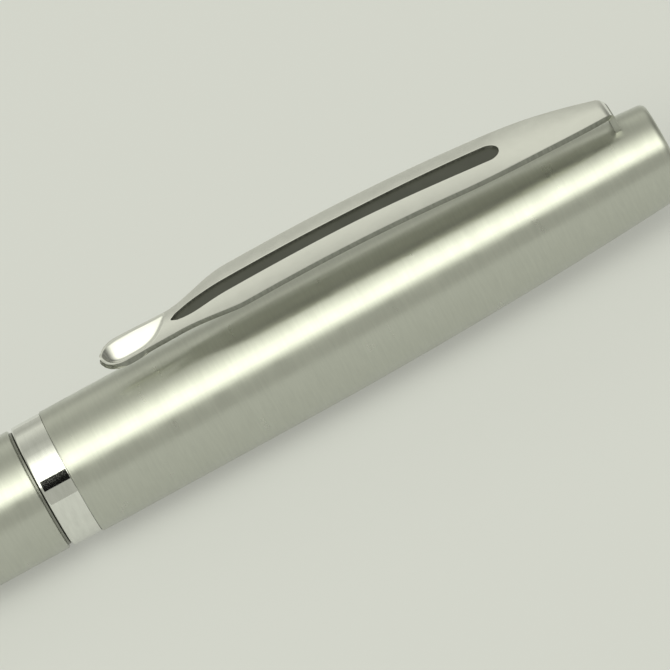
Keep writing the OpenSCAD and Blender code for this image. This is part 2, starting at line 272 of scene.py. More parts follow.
def bright_metal(name, dark, light, low, high):
    """Polished metal with faint turning marks and small changes of gloss."""
    mat, tree, shader, add = new_material(name)
    marks = add("ShaderNodeTexNoise", Scale=1.0, Detail=4.0, Roughness=0.6)
    tree.links.new(turning_coordinates(tree, add, 2500, 3.0), marks.inputs["Vector"])
    tree.links.new(two_colours(tree, add, marks.outputs["Fac"], dark, light), shader.inputs["Base Color"])
    tree.links.new(ramp(tree, add, marks.outputs["Fac"], low, high), shader.inputs["Roughness"])
    bump = add("ShaderNodeBump", Strength=0.05, Distance=0.00001)
    tree.links.new(marks.outputs["Fac"], bump.inputs["Height"])
    tree.links.new(bump.outputs[0], shader.inputs["Normal"])
    shader.inputs["Metallic"].default_value = 1
    return mat


def clip_metal():
    """Sprung sheet, polished along its length and a little scuffed by pockets."""
    mat, tree, shader, add = new_material("clip_metal")
    place = add("ShaderNodeTexCoord")
    grain_map = add("ShaderNodeMapping")
    grain_map.inputs["Scale"].default_value = (150, 9000, 2500)
    tree.links.new(place.outputs["Object"], grain_map.inputs["Vector"])
    grain = add("ShaderNodeTexNoise", Scale=1.0, Detail=3.0, Roughness=0.6)
    tree.links.new(grain_map.outputs[0], grain.inputs["Vector"])
    scuff = add("ShaderNodeTexNoise", Scale=900.0, Detail=5.0, Roughness=0.7)
    tree.links.new(place.outputs["Object"], scuff.inputs["Vector"])
    tree.links.new(two_colours(tree, add, scuff.outputs["Fac"], (0.84, 0.84, 0.8), (0.9, 0.9, 0.86)),
                   shader.inputs["Base Color"])
    tree.links.new(ramp(tree, add, scuff.outputs["Fac"], 0.15, 0.23), shader.inputs["Roughness"])
    bump = add("ShaderNodeBump", Strength=0.06, Distance=0.00001)
    tree.links.new(grain.outputs["Fac"], bump.inputs["Height"])
    tree.links.new(bump.outputs[0], shader.inputs["Normal"])
    shader.inputs["Metallic"].default_value = 1
    return mat


def painted_shade_edge(name, dark, light):
    """The clip's sheet edges: a darker tone than its faces that is painted shade, rougher, and streaked by
    the die.
    """
    mat, tree, shader, add = new_material(name)
    place = add("ShaderNodeTexCoord")
    stretch = add("ShaderNodeMapping")
    stretch.inputs["Scale"].default_value = (5000, 5000, 600)
    tree.links.new(place.outputs["Object"], stretch.inputs["Vector"])
    streaks = add("ShaderNodeTexNoise", Scale=1.0, Detail=3.0, Roughness=0.6)
    tree.links.new(stretch.outputs[0], streaks.inputs["Vector"])
    tree.links.new(two_colours(tree, add, streaks.outputs["Fac"], dark, light), shader.inputs["Base Color"])
    tree.links.new(ramp(tree, add, streaks.outputs["Fac"], 0.3, 0.45), shader.inputs["Roughness"])
    shader.inputs["Metallic"].default_value = 1
    return mat


def moulded_plastic(name, dark, light, low, high, clearness=0.0):
    """Moulded plastic or rubber with a fine skin texture and an uneven gloss."""
    mat, tree, shader, add = new_material(name)
    grain = 4000.0
    place = add("ShaderNodeTexCoord")
    texture = add("ShaderNodeTexNoise", Scale=grain, Detail=4.0, Roughness=0.6)
    tree.links.new(place.outputs["Object"], texture.inputs["Vector"])
    patches = add("ShaderNodeTexNoise", Scale=grain / 12, Detail=2.0)
    tree.links.new(place.outputs["Object"], patches.inputs["Vector"])
    tree.links.new(two_colours(tree, add, patches.outputs["Fac"], dark, light), shader.inputs["Base Color"])
    tree.links.new(ramp(tree, add, patches.outputs["Fac"], low, high), shader.inputs["Roughness"])
    bump = add("ShaderNodeBump", Strength=0.1, Distance=0.00003)
    tree.links.new(texture.outputs["Fac"], bump.inputs["Height"])
    tree.links.new(bump.outputs[0], shader.inputs["Normal"])
    shader.inputs["Transmission Weight"].default_value = clearness
    return mat


MATERIALS = {
    "satin_metal": satin_metal(),
    "polished_metal": bright_metal("polished_metal", (0.76, 0.765, 0.73), (0.84, 0.845, 0.81), 0.03, 0.07),
    "clip_metal": clip_metal(),
    "spring_steel": bright_metal("spring_steel", (0.6, 0.6, 0.58), (0.74, 0.74, 0.72), 0.14, 0.28),
    # Both edge tones are painted shade: dark along the clip's edges and in the seam, paler on the tongue
    # under the clip's root
    "clip_edge_painted_shade": painted_shade_edge("clip_edge_painted_shade", (0.24, 0.245, 0.22), (0.34, 0.345, 0.31)),
    "tongue_edge_painted_shade": painted_shade_edge("tongue_edge_painted_shade", (0.46, 0.465, 0.43), (0.54, 0.545, 0.5)),
    "inlay_plastic": moulded_plastic("inlay_plastic", (0.036, 0.038, 0.028), (0.055, 0.057, 0.045),
                                     0.3, 0.42),
    "brass": bright_metal("brass", (0.62, 0.44, 0.18), (0.8, 0.62, 0.3), 0.2, 0.36),
    "grip_plastic": moulded_plastic("grip_plastic", (0.018, 0.018, 0.02), (0.035, 0.035, 0.038), 0.38, 0.52),
    "liner_plastic": moulded_plastic("liner_plastic", (0.05, 0.05, 0.055), (0.09, 0.09, 0.095), 0.5, 0.62),
    "nib_plastic": moulded_plastic("nib_plastic", (0.66, 0.66, 0.62), (0.76, 0.76, 0.73), 0.3, 0.42),
    "colour_code": moulded_plastic("colour_code", (0.42, 0.04, 0.03), (0.58, 0.08, 0.06), 0.22, 0.34),
    "cartridge_plastic": moulded_plastic("cartridge_plastic", (0.74, 0.75, 0.72), (0.84, 0.85, 0.82),
                                         0.12, 0.22, clearness=0.75),
    "seal_rubber": moulded_plastic("seal_rubber", (0.012, 0.012, 0.012), (0.03, 0.03, 0.03), 0.6, 0.75),
}


# ---------------------------------------------------------------- turned pieces

def cap_radius(x):
    """Outer radius of the cap at x: straight, then one long curve down to the flat top."""
    return CAP_R - (CAP_R - END_R) * (max(0, x - CAP_TAPER_X) / (PEN_L - CAP_TAPER_X)) ** 2


def barrel_radius(x):
    """Outer radius of the barrel at x, which tapers to its rear end as the cap does to its top."""
    return BARREL_R - (BARREL_R - END_R) * (max(0, BARREL_TAPER_X - x) / BARREL_TAPER_X) ** 2


GRIP_SIDE_X = SEAM_X + 5.2   # the grip's tapered side begins here
GRIP_FRONT_R = 3.65
GRIP_WAIST = (GRIP_R - 3.95) * 0.45    # how far its side draws in
SEAT_L = 2                   # length of the lip ring's seat in the cap
SEAT_DEPTH = 0.25            # how far that seat is cut back


def between(x0, x1, count, radius):
    """Points along a curved side."""
    return [(x0 + (x1 - x0) * i / count, radius(x0 + (x1 - x0) * i / count)) for i in range(count + 1)]


def make_cap_shell():
    """Satin cap with a rounded flat top, and a seat cut in its mouth for the lip ring."""
    corner = 1.15
    wall = 0.55
    inner_top = PEN_L - 1.3
    narrow_x = SEAM_X + 28.4     # the straight bore ends here
    seat_x, seat_r = SHELL_X + SEAT_L, CAP_BORE + SEAT_DEPTH
    side = between(SEAM_X + 12, PEN_L - corner - 0.05, 40, cap_radius)
    inside = between(narrow_x + 0.6, inner_top, 16, lambda x: cap_radius(x) - wall)
    inside.reverse()
    outline = [(SHELL_X, seat_r, 0.05), (SHELL_X, CAP_R, 0.08)] + side
    outline += [(PEN_L, cap_radius(PEN_L), corner), (PEN_L, 0), (inner_top, 0)] + inside
    outline += [(narrow_x, CAP_BORE), (seat_x, CAP_BORE), (seat_x, seat_r)]
    turned("cap_shell_satin", outline, "cap", "satin_metal", ["cap_shell"], steps=10)


def make_lip_ring():
    """Polished ring at the cap's mouth, with a thin sleeve that sits in the shell's seat."""
    gap = 0.02
    shoulder_x, sleeve_x, sleeve_r = SHELL_X - gap, SHELL_X + SEAT_L - gap, CAP_BORE + SEAT_DEPTH
    ring = [(LIP_X, CAP_BORE, 0.1), (LIP_X, LIP_R, 0.22), (shoulder_x, LIP_R, 0.08),
            (shoulder_x, sleeve_r), (sleeve_x, sleeve_r), (sleeve_x, CAP_BORE)]
    turned("lip_ring_polished", ring, "cap", "polished_metal", ["lip_ring"])


def make_barrel_tube():
    """Satin barrel: straight behind its mouth, then tapered down to its joint with the rear plug."""
    bore, rear_bore = 4.7, 4.0
    plug_bore, plug_end = 3.3, 14
    side = between(TUBE_X0 + 0.3, BARREL_TAPER_X + 2, 30, barrel_radius)
    outline = [(TUBE_X0, plug_bore), (TUBE_X0, barrel_radius(TUBE_X0), 0.12)] + side
    outline += [(BARREL_X, BARREL_R, 0.14), (BARREL_X, bore, 0.08), (BARREL_TAPER_X, bore),
                (BARREL_TAPER_X - 2, rear_bore), (plug_end, rear_bore), (plug_end, plug_bore)]
    turned("barrel_tube_satin", outline, "barrel", "satin_metal", ["barrel_tube"])


def make_rear_plug():
    """Satin end of the barrel, with a shallow turned ring in its face and a hollow plug."""
    corner = 0.85
    ring_depth, ring_in, ring_out, ring_bevel = 0.12, 2.6, 3.1, 0.15
    plug_r, plug_bore, plug_end = 3.28, 2.5, 13
    joint_x = TUBE_X0 - 0.05     # leaves the fine line between plug and tube
    side = between(corner + 0.65, TUBE_X0 - 0.5, 6, barrel_radius)
    plug = [(0, 0), (0, ring_in), (ring_depth, ring_in + ring_bevel), (ring_depth, ring_out - ring_bevel),
            (0, ring_out), (0, barrel_radius(0), corner)] + side
    plug += [(joint_x, barrel_radius(TUBE_X0) - 0.02, 0.12), (joint_x, plug_r), (plug_end, plug_r, 0.2),
             (plug_end, plug_bore), (TUBE_X0, plug_bore), (TUBE_X0, 0)]
    turned("rear_plug_satin", plug, "barrel", "satin_metal", ["rear_plug"], steps=8)


def threaded(name, outline, threads, body, slot, nodes):
    """A turned piece with one or more threads cut on it."""
    bm = spin(rounded(outline, steps=4), segments=128)
    for thread in threads:
        add_thread(bm, **thread)
    return finish_mesh(name, bm, body, slot, nodes)


def soft_ring(name, node, body, slot, inner, fillet):
    """A plain ring in place of a CAD ring, with its four corners rounded."""
    x0, x1, outer = span(node)
    corners = [(x0, inner, fillet), (x0, outer, fillet), (x1, outer, fillet), (x1, inner, fillet)]
    turned(name, corners, body, slot, [node], segments=96)


def make_thread_insert():
    """Threaded bush in the barrel's mouth, with a thin flange that shows in the seam, its face painted dark
    as shade in the seam.
    """
    x0, x1, flange_r = span("thread_insert")
    seal_x0, seal_x1, _ = span("section_seal")
    bore, bush_r, seal_r = 4.28, 4.69, 4.55
    mouth_r = GRIP_R + 0.06
    outline = [(x0, bore, 0.1), (x0, bush_r, 0.1), (BARREL_X, bush_r), (BARREL_X, flange_r, 0.04),
               (x1, flange_r, 0.05), (x1, mouth_r, 0.03), (seal_x1, mouth_r), (seal_x1, seal_r),
               (seal_x0, seal_r), (seal_x0, bore, 0.05)]
    thread = dict(x0=SPIGOT_X + 0.8 - BARREL_PITCH / 2, x1=seal_x0 - 0.5, pitch=BARREL_PITCH,
                  root=bore, crest=4.13, flat=0.05, base=0.28)
    piece = threaded("thread_insert_bush", outline, [thread], "barrel", "polished_metal", ["thread_insert"])
    # The flange's face is painted dark: painted shade in the seam between barrel and cap
    piece.data.materials.append(MATERIALS["clip_edge_painted_shade"])
    for face in piece.data.polygons:
        if face.center.x > (BARREL_X - 0.01) * MM:
            face.material_index = 1


def grip_side(x):
    """Radius of the grip at x: a taper to the front, drawn in a little between its ends."""
    u = (x - GRIP_SIDE_X) / (GRIP_X1 - GRIP_SIDE_X)
    return GRIP_R + (GRIP_FRONT_R - GRIP_R) * u - GRIP_WAIST * math.sin(math.pi * u)


def finger_grooves():
    """Points of the turned grooves in the grip, each half a pitch wide."""
    count, first_x = 7, SEAM_X + 10
    pitch = 1.6
    depth = 0.17
    bevel = 0.12
    points = []
    for i in range(count):
        x0 = first_x + i * pitch
        x1 = x0 + pitch / 2
        points += [(x0, grip_side(x0), 0.12), (x0 + bevel, grip_side(x0) - depth, 0.08),
                   (x1 - bevel, grip_side(x1) - depth, 0.08), (x1, grip_side(x1), 0.12)]
    return points


def make_grip():
    """Black grip: thread, cap-ring groove, a waist with turned finger grooves, and the nib's socket."""
    groove_x0, groove_x1, groove_r = GRIP_SIDE_X - 2, GRIP_SIDE_X - 1, 4.3
    thread_r, collar_r = 4.02, 4.2
    ink_bore, stem_bore, socket_r = 2.95, 2.85, 2.97
    outline = [(SPIGOT_X, ink_bore, 0.1), (SPIGOT_X, thread_r, 0.2), (SEAM_X - 0.5, thread_r, 0.1),
               (SEAM_X - 0.4, collar_r, 0.05), (SEAM_X, collar_r, 0.03), (SEAM_X, GRIP_R, 0.1),
               (groove_x0, GRIP_R, 0.06), (groove_x0, groove_r),
               (groove_x1, groove_r), (groove_x1, GRIP_R, 0.06)]
    outline += between(GRIP_SIDE_X, SEAM_X + 9.4, 5, grip_side)
    outline += finger_grooves()
    outline += between(SEAM_X + 21.4, GRIP_X1 - 0.8, 8, grip_side)
    outline += [(GRIP_X1, grip_side(GRIP_X1), 0.35), (GRIP_X1, socket_r, 0.08), (STEM_X, socket_r),
                (STEM_X, stem_bore), (SPIGOT_X + 26, stem_bore), (SPIGOT_X + 26, ink_bore)]
    outer = dict(x0=SPIGOT_X + 0.8, x1=SEAM_X - 1.2, pitch=BARREL_PITCH, root=thread_r, crest=4.2)
    inner = dict(x0=STEM_X + 0.5 + NIB_PITCH / 2, x1=GRIP_X1 - 1, pitch=NIB_PITCH,
                 root=socket_r, crest=2.86, flat=0.04, base=0.25)
    threaded("grip_section_ribbed", outline, [outer, inner], "section", "grip_plastic", ["grip_section"])


def make_snap_ring():
    """Open spring ring that the cap clicks on to."""
    x0, x1, outer = span("snap_ring")
    middle, half = (x0 + x1) / 2, (x1 - x0) / 2
    inner = 4.32
    half_gap = 0.6
    opening = math.asin(half_gap / outer)
    corners = [(-half, inner, 0.1), (-half, outer, 0.3), (half, outer, 0.3), (half, inner, 0.1)]
    profile = rounded(corners, steps=4)
    bm = bmesh.new()
    rows = []
    steps = 120
    for i in range(steps + 1):
        a = math.pi + opening + (TURN - 2 * opening) * i / steps
        rows.append([bm.verts.new((middle + q.x, q.y * math.sin(a), q.y * math.cos(a))) for q in profile])
    skin(bm, rows)
    finish_mesh("snap_ring_open", bm, "section", "spring_steel", ["snap_ring"])


def make_nib_body():
    """Moulded nib: ink nipple, core, threaded stem, flange, colour ring's seat and tapered front."""
    nipple_r, nipple_bore = 1.2, 0.7
    core_x0, core_r = STEM_X - 11, 2.0
    chamber_x0, chamber_x1, chamber_r = STEM_X - 10.4, STEM_X + 0.1, 1.3
    stem_r, seal_r, ring_seat_r = 2.76, 2.6, 2.5
    flange_x = GRIP_X1 + 0.9
    sleeve_x, sleeve_bore, wire_bore = NIB_FRONT - 2.5, 0.65, 0.25
    ring_x = span("size_ring")[1]

    def front(x):
        """Radius of the tapered front, which is a little hollow."""
        return 1.05 + 1.1 * ((NIB_FRONT - x) / (NIB_FRONT - ring_x)) ** 1.25

    outline = [(CORE_X, nipple_bore), (CORE_X, nipple_r, 0.2), (core_x0, nipple_r), (core_x0, core_r, 0.1),
               (STEM_X, core_r), (STEM_X, stem_r, 0.15), (GRIP_X1 - 0.6, stem_r, 0.1),
               (GRIP_X1 - 0.3, seal_r, 0.05), (GRIP_X1, seal_r), (GRIP_X1, FLANGE_R, 0.12),
               (flange_x, FLANGE_R, 0.12), (flange_x, ring_seat_r), (ring_x, ring_seat_r, 0.05),
               (ring_x + 0.15, 2.3, 0.1)]
    outline += between(ring_x + 0.6, NIB_FRONT - 0.15, 8, front)
    outline += [(NIB_FRONT, 1.0, 0.12), (NIB_FRONT, sleeve_bore), (sleeve_x, sleeve_bore),
                (sleeve_x, wire_bore), (chamber_x1, wire_bore), (chamber_x1, chamber_r),
                (chamber_x0, chamber_r), (chamber_x0, nipple_bore)]
    stem = dict(x0=STEM_X + 0.5, x1=GRIP_X1 - 0.9, pitch=NIB_PITCH, root=stem_r, crest=2.9)
    threaded("nib_body_moulded", outline, [stem], "nib", "nib_plastic", ["nib_body"])


def make_air_spiral():
    """Air channel's wall, wound round the nib's core."""
    x0, x1, crest = span("air_spiral")
    bm = bmesh.new()
    add_thread(bm, x0 + 0.3, x1 - 0.3, pitch=1.15, root=2.0, crest=crest, flat=0.28, base=0.31)
    finish_mesh("air_spiral_fin", bm, "nib", "nib_plastic", ["air_spiral"])


def make_nib_front():
    """Steel shoulder of the nib, and the fine tube that draws the line."""
    x0, x1, outer = span("nib_sleeve")
    tube_x0, tube_x1, tube_r = span("drawing_tube")
    bore, tube_bore = 0.25, 0.14
    sleeve = [(x0, bore), (x0, outer, 0.05), (x1 - 1.1, outer, 0.4), (x1, 0.42, 0.08), (x1, bore)]
    turned("nib_sleeve_steel", sleeve, "nib", "spring_steel", ["nib_sleeve"], segments=64)
    tube = [(tube_x0, tube_bore), (tube_x0, tube_r), (tube_x1, tube_r, 0.05), (tube_x1, tube_bore, 0.03)]
    turned("drawing_tube_fine", tube, "nib", "spring_steel", ["drawing_tube"], segments=48)


def make_cartridge_tube():
    """Clear ink tube with a ring groove in its closed end and a necked mouth."""
    x0, x1, outer = span("cartridge_tube")
    inner = outer - 0.45
    groove_in, groove_out, groove_depth = 1.2, 1.9, 0.25
    mouth_r, mouth_bore = 2.45, 1.9
    floor_x, shoulder_x = x0 + 1.1, x1 - 1.6
    tube = [(x0, 0), (x0, groove_in, 0.1), (x0 + groove_depth, groove_in + 0.3, 0.1),
            (x0, groove_out, 0.1), (x0, outer, 0.7),
            (shoulder_x, outer, 0.5), (x1, mouth_r, 0.15), (x1, mouth_bore),
            (x1 - 0.8, mouth_bore), (x1 - 2, inner, 0.4), (floor_x, inner, 0.5), (floor_x, 0)]
    turned("cartridge_tube_clear", tube, "cartridge", "cartridge_plastic", ["cartridge_tube"], segments=96)


def make_cartridge_collar():
    """Collar on the ink tube's mouth, with three turned grooves for the fingers."""
    x0, x1, outer = span("cartridge_collar")
    bore, plug_r, body_r = 1.25, 1.88, 2.45
    start = x0 + 1.6
    collar = [(x0, bore), (x0, plug_r), (start, plug_r), (start, body_r, 0.1), (start + 0.5, outer, 0.15)]
    for i in range(3):
        x = start + 3.2 + 1.2 * i
        collar += [(x, outer, 0.05), (x + 0.1, outer - 0.12, 0.05), (x + 0.5, outer - 0.12, 0.05),
                   (x + 0.6, outer, 0.05)]
    collar += [(x1 - 0.4, outer, 0.2), (x1, outer - 0.4, 0.1), (x1, bore, 0.1)]
    turned("cartridge_collar_ribbed", collar, "cartridge", "nib_plastic", ["cartridge_collar"], segments=96)


def make_inner_cap():
    """Moulded liner of the cap: a flange, a seat for the cap's seal and a narrow end round the nib."""
    x0, x1, flange_r = span("inner_cap")
    body_r, bore, nib_bore = 3.88, 3.45, 3.0
    seat_x, flange_x, neck_x = x0 + 0.72, x0 + 1.2, x0 + 7.3
    floor_x = x1 - 1.2
    liner = [(x0, body_r), (x0, flange_r, 0.1), (flange_x, flange_r, 0.1), (flange_x, body_r, 0.1),
             (x1, body_r, 0.4), (x1, 0), (floor_x, 0), (floor_x, nib_bore, 0.3), (neck_x, nib_bore, 0.2),
             (neck_x, bore, 0.2), (seat_x, bore), (seat_x, body_r)]
    turned("inner_cap_moulded", liner, "cap", "liner_plastic", ["inner_cap"], segments=96)


make_cap_shell()
make_lip_ring()
make_barrel_tube()
make_rear_plug()
make_thread_insert()
soft_ring("section_seal_ring", "section_seal", "seal_ring", "seal_rubber", 4.23, 0.1)
make_grip()
make_snap_ring()
soft_ring("nib_seal_ring", "nib_seal", "nib_seal_ring", "seal_rubber", 2.06, 0.25)
make_nib_body()
make_air_spiral()
soft_ring("size_ring_gloss", "size_ring", "nib", "colour_code", 2.5, 0.15)
make_nib_front()
make_cartridge_tube()
make_cartridge_collar()
make_inner_cap()
soft_ring("cap_seal_ring", "cap_seal", "cap", "seal_rubber", 3.3, 0.22)


# ---------------------------------------------------------------- pocket clip

def smooth(u):
    """Eases from 0 to 1 as u goes from 0 to 1."""
    v = min(1, max(0, u))
    return v * v * (3 - 2 * v)


APEX_X = SEAM_X + 25.5       # highest place of the clip's arch
NECK_X = SEAM_X + 15.3       # where the spoon meets the rails
SLOT_X0 = NECK_X + 0.05
SLOT_X1 = SEAM_X + 44.2
SLOT_HALF = 0.82
SLOT_END_R = 1.05
SLOT_START_HALF = 0.25       # half width of the slot just past its pointed end
SLOT_POINT = 0.5             # length of that pointed end
SLOT_RUN_IN = 2.6            # length over which the slot reaches its width
SLOT_RUN_OUT = 13            # length over which the slot widens to its round end
CLIP_RUN_IN = 6.0            # length over which the rails reach theirs
BEND_X = PEN_L - 3.5
BEND_R = 1.0
SHEET = 0.5                  # thickness of the sheet
PAD = 1.75                   # radius of the spoon
NECK_HALF = 1.62
RAIL_HALF = CLIP_HALF + 0.15
ROOT_HALF = 1.4
ROOT_TAPER_X = SLOT_X1 - 5   # the clip narrows from here to its root, slowly at first
ROOT_TAPER_POWER = 2.3
TONGUE_HALF = 0.85
TONGUE_Z = 2.0
CLIP_RISE = 0.24             # how far the formed sheet stands above the plain arch
ARCH_R_FRONT = 260           # radius of the arch, spoon's side and root's side
ARCH_R_ROOT = 158
LEAN_R = 200                 # sets how far the sheet leans where its bend begins
NECK_DROP = 0.34             # how far the neck is pressed in below the arch
NECK_RISE = 5                # length over which the arch comes back up behind it
TIP_LIFT = 0.02              # how far the tip flares away from the cap
TIP_FLARE = 3.6              # length of that flare
DISH_SLOPE = math.tan(math.radians(38))
DISH_POINT_POWER = 3.4       # how late the dish draws in to its point
DISH_FLOOR = 0.12            # softness of the line along its bottom
TONGUE_EDGE_X = BEND_X + 0.7    # the tongue's face, painted dark as shade under the clip's root, and its paler painted-shade edges begin here
EDGE_BREAK = 0.14            # width of the bevel on the sheet's edges
CLIP_COLUMNS = 15            # vertices across each side of the sheet
BEND_STEPS = 8
TONGUE_STEPS = 4


def clip_face(x):
    """Height of the outer face on the clip's middle line, before the spoon is pressed in."""
    arch_r = ARCH_R_FRONT if x < APEX_X else ARCH_R_ROOT
    waist = NECK_DROP * (1 - smooth((x - NECK_X) / NECK_RISE))
    return CLIP_TOP + CLIP_RISE - (x - APEX_X) ** 2 / (2 * arch_r) - waist


def clip_half(x):
    """Half width of the clip at x."""
    pad_x = CLIP_X0 + PAD
    if x < pad_x:
        return math.sqrt(max(0, PAD ** 2 - (pad_x - x) ** 2))
    if x < NECK_X:
        return PAD + (NECK_HALF - PAD) * smooth((x - pad_x) / (NECK_X - pad_x))
    body = NECK_HALF + (RAIL_HALF - NECK_HALF) * smooth((x - NECK_X) / CLIP_RUN_IN)
    taper = max(0, x - ROOT_TAPER_X) / (BEND_X - ROOT_TAPER_X)
    return body - (RAIL_HALF - ROOT_HALF) * taper ** ROOT_TAPER_POWER


def slot_half(x):
    """Half width of the long slot at x, 0 where there is none."""
    if x <= SLOT_X0 or x >= SLOT_X1:
        return 0
    centre = SLOT_X1 - SLOT_END_R
    if x > centre:
        return math.sqrt(max(0, SLOT_END_R ** 2 - (x - centre) ** 2))
    run_in = 1 - max(0, 1 - (x - SLOT_X0) / SLOT_RUN_IN) ** 2
    run_out = smooth((x - centre + SLOT_RUN_OUT) / SLOT_RUN_OUT)
    body = SLOT_START_HALF + (SLOT_HALF - SLOT_START_HALF) * run_in + (SLOT_END_R - SLOT_HALF) * run_out
    return body * math.sqrt(min(1, (x - SLOT_X0) / SLOT_POINT))


def crown(x):
    """Drop of the clip's long edges below its middle line."""
    tip, rails, flattened = 0.16, 0.14, 0.2
    grow = smooth((x - NECK_X) / CLIP_RUN_IN)
    fade = smooth((x - SLOT_X1 + 4) / 8)
    return tip + rails * grow - flattened * fade


def dish(x, y):
    """Depth of the teardrop pressed into the tip, whose far side is straight and near side curved."""
    round_x = CLIP_X0 + PAD + 0.1              # the dish is widest here
    near, far = PAD - 0.08, PAD - 0.28         # its reach to each side, there
    if x < round_x:
        end = math.sqrt(max(0, 1 - ((round_x - x) / near) ** 2))
        near, far = near * end, far * end
    else:
        u = min(1, (x - round_x) / (NECK_X - 0.1 - round_x))
        near -= (near + far) * u ** DISH_POINT_POWER
    centre, reach = (far - near) / 2, (far + near) / 2
    floor = DISH_FLOOR * min(1, reach)
    inside = reach - math.hypot(y - centre, floor)
    return DISH_SLOPE * max(0, inside) * smooth((x - CLIP_X0) / 0.6)


def clip_height(x, y, half):
    """Outer face of the clip at x, y: arch, crowned section, flared tip and its dish."""
    flare = TIP_LIFT * smooth((NECK_X - x) / TIP_FLARE)
    return clip_face(max(x, NECK_X)) + flare - crown(x) * (y / max(half, 0.8)) ** 2 - dish(x, y)


def clip_stations():
    """Values of x down the clip, close together where its outline turns quickly."""
    ends = [CLIP_X0, CLIP_X0 + PAD, NECK_X - 0.5, SLOT_X0, SLOT_X0 + SLOT_POINT, NECK_X + 8.5,
            SLOT_X1 - 3, SLOT_X1 - SLOT_END_R, SLOT_X1, BEND_X]
    counts = [16, 30, 8, 6, 18, 40, 6, 14, 14]
    result = []
    for x0, x1, n in zip(ends, ends[1:], counts):
        for i in range(n):
            u = i / n
            if x0 == CLIP_X0:
                u = 1 - math.cos(u * math.pi / 2)
            if x1 == SLOT_X1:
                u = math.sin(u * math.pi / 2)
            result.append(x0 + (x1 - x0) * u)
    return result + [BEND_X]


def sheet_row(bm, place, half, gap):
    """One row of vertices across the clip's sheet, with a gap in the middle for the slot."""
    row = []
    for side in (-1, 1):
        for k in range(CLIP_COLUMNS):
            u = k / (CLIP_COLUMNS - 1)
            u = u if side > 0 else 1 - u
            y = side * (gap + (half - gap) * u)
            row.append(bm.verts.new(place(y)))
    return row


def clip_rows(bm):
    """Rows of the clip's outer face: along the arch, round the bend and down the tongue."""
    rows = []
    for x in clip_stations():
        half = clip_half(x)
        gap = min(slot_half(x), half * 0.9)
        rows.append(sheet_row(bm, lambda y: (x, y, clip_height(x, y, half)), half, gap))
    lean = math.atan((BEND_X - APEX_X) / LEAN_R)
    centre_x = BEND_X - BEND_R * math.sin(lean)
    centre_z = clip_face(BEND_X) - BEND_R * math.cos(lean)
    root_half = clip_half(BEND_X)
    for i in range(1, BEND_STEPS + 1):
        u = i / BEND_STEPS
        a = (math.pi / 2 - lean) * (1 - u)
        x = centre_x + BEND_R * math.cos(a)
        z = centre_z + BEND_R * math.sin(a)
        half = root_half + (TONGUE_HALF - root_half) * smooth(u)
        drop = crown(BEND_X) * (1 - u)
        rows.append(sheet_row(bm, lambda y: (x, y, z - drop * (y / half) ** 2), half, 0))
    for i in range(1, TONGUE_STEPS + 1):
        z = centre_z + (TONGUE_Z - centre_z) * i / TONGUE_STEPS
        rows.append(sheet_row(bm, lambda y: (centre_x + BEND_R, y, z), TONGUE_HALF, 0))
    return rows


def fill_sheet(bm, rows):
    """Faces between the rows, left open over the slot."""
    for low, high in zip(rows, rows[1:]):
        for k in range(2 * CLIP_COLUMNS - 1):
            if k == CLIP_COLUMNS - 1:
                continue
            corners = [low[k], low[k + 1], high[k + 1], high[k]]
            if len({tuple(round(c, 5) for c in v.co) for v in corners}) > 2:
                bm.faces.new(corners)


def make_clip():
    """Sprung clip: one formed sheet, thickened inwards, with its edges broken and painted dark as shade, and
    its tongue painted shade too.
    """
    bm = bmesh.new()
    fill_sheet(bm, clip_rows(bm))
    piece = finish_mesh("pocket_clip_sheet", bm, "clip", "clip_metal", ["pocket_clip"], sharp=60)
    piece.modifiers.clear()      # the shading comes last, after the sheet has its thickness
    # Painted shade: the dark edge tone for the tongue's faces and the sheet's rims and bevels, a paler one
    # for the tongue's rims
    piece.data.materials.append(MATERIALS["clip_edge_painted_shade"])
    piece.data.materials.append(MATERIALS["tongue_edge_painted_shade"])
    # Faces past here, the lower bend and the tongue, are painted dark as shade under the clip's root
    for face in piece.data.polygons:
        if face.center.x > TONGUE_EDGE_X * MM:
            face.material_index = 1
    solid = piece.modifiers.new("sheet", "SOLIDIFY")
    solid.thickness = SHEET * MM
    solid.offset = -1
    solid.use_even_offset = True
    # Rims take the next material: painted shade along the sheet's edges
    solid.material_offset_rim = 1
    edge = piece.modifiers.new("edge", "BEVEL")
    edge.width = EDGE_BREAK * MM
    edge.segments = 3
    edge.limit_method = "ANGLE"
    edge.angle_limit = math.radians(50)
    # Bevels painted dark: painted shade along the broken edges
    edge.material = 1
    shade = piece.modifiers.new("even_shading", "WEIGHTED_NORMAL")
    shade.keep_sharp = False


make_clip()


def make_inlay():
    """Black strip that fills the slot, a little below the clip's face, with a bright underside."""
    columns = 7
    recess = 0.22
    floor = SHEET - 0.02
    end_gap, side_gap = 0.01, 0.015
    bm = bmesh.new()
    rows = []
    steps = 90
    for i in range(steps + 1):
        u = 1 - (1 - i / steps) ** 1.3
        x = SLOT_X0 + end_gap + (SLOT_X1 - 2 * end_gap - SLOT_X0) * u
        half = max(0.02, slot_half(x) - side_gap)
        ys = [half * (2 * k / (columns - 1) - 1) for k in range(columns)]
        bow = crown(x) / clip_half(x) ** 2
        top = [bm.verts.new((x, y, clip_face(x) - bow * y * y - recess)) for y in ys]
        under = [bm.verts.new((x, y, clip_face(x) - bow * y * y - floor)) for y in reversed(ys)]
        rows.append(top + under)
    skin(bm, rows)
    piece = finish_mesh("clip_inlay_strip", bm, "clip", "inlay_plastic", ["clip_inlay"], sharp=50)
    piece.data.materials.append(MATERIALS["clip_metal"])
    for face in piece.data.polygons:
        face.material_index = 1 if face.normal.z < -0.5 else 0


make_inlay()


# ---------------------------------------------------------------- CAD nodes

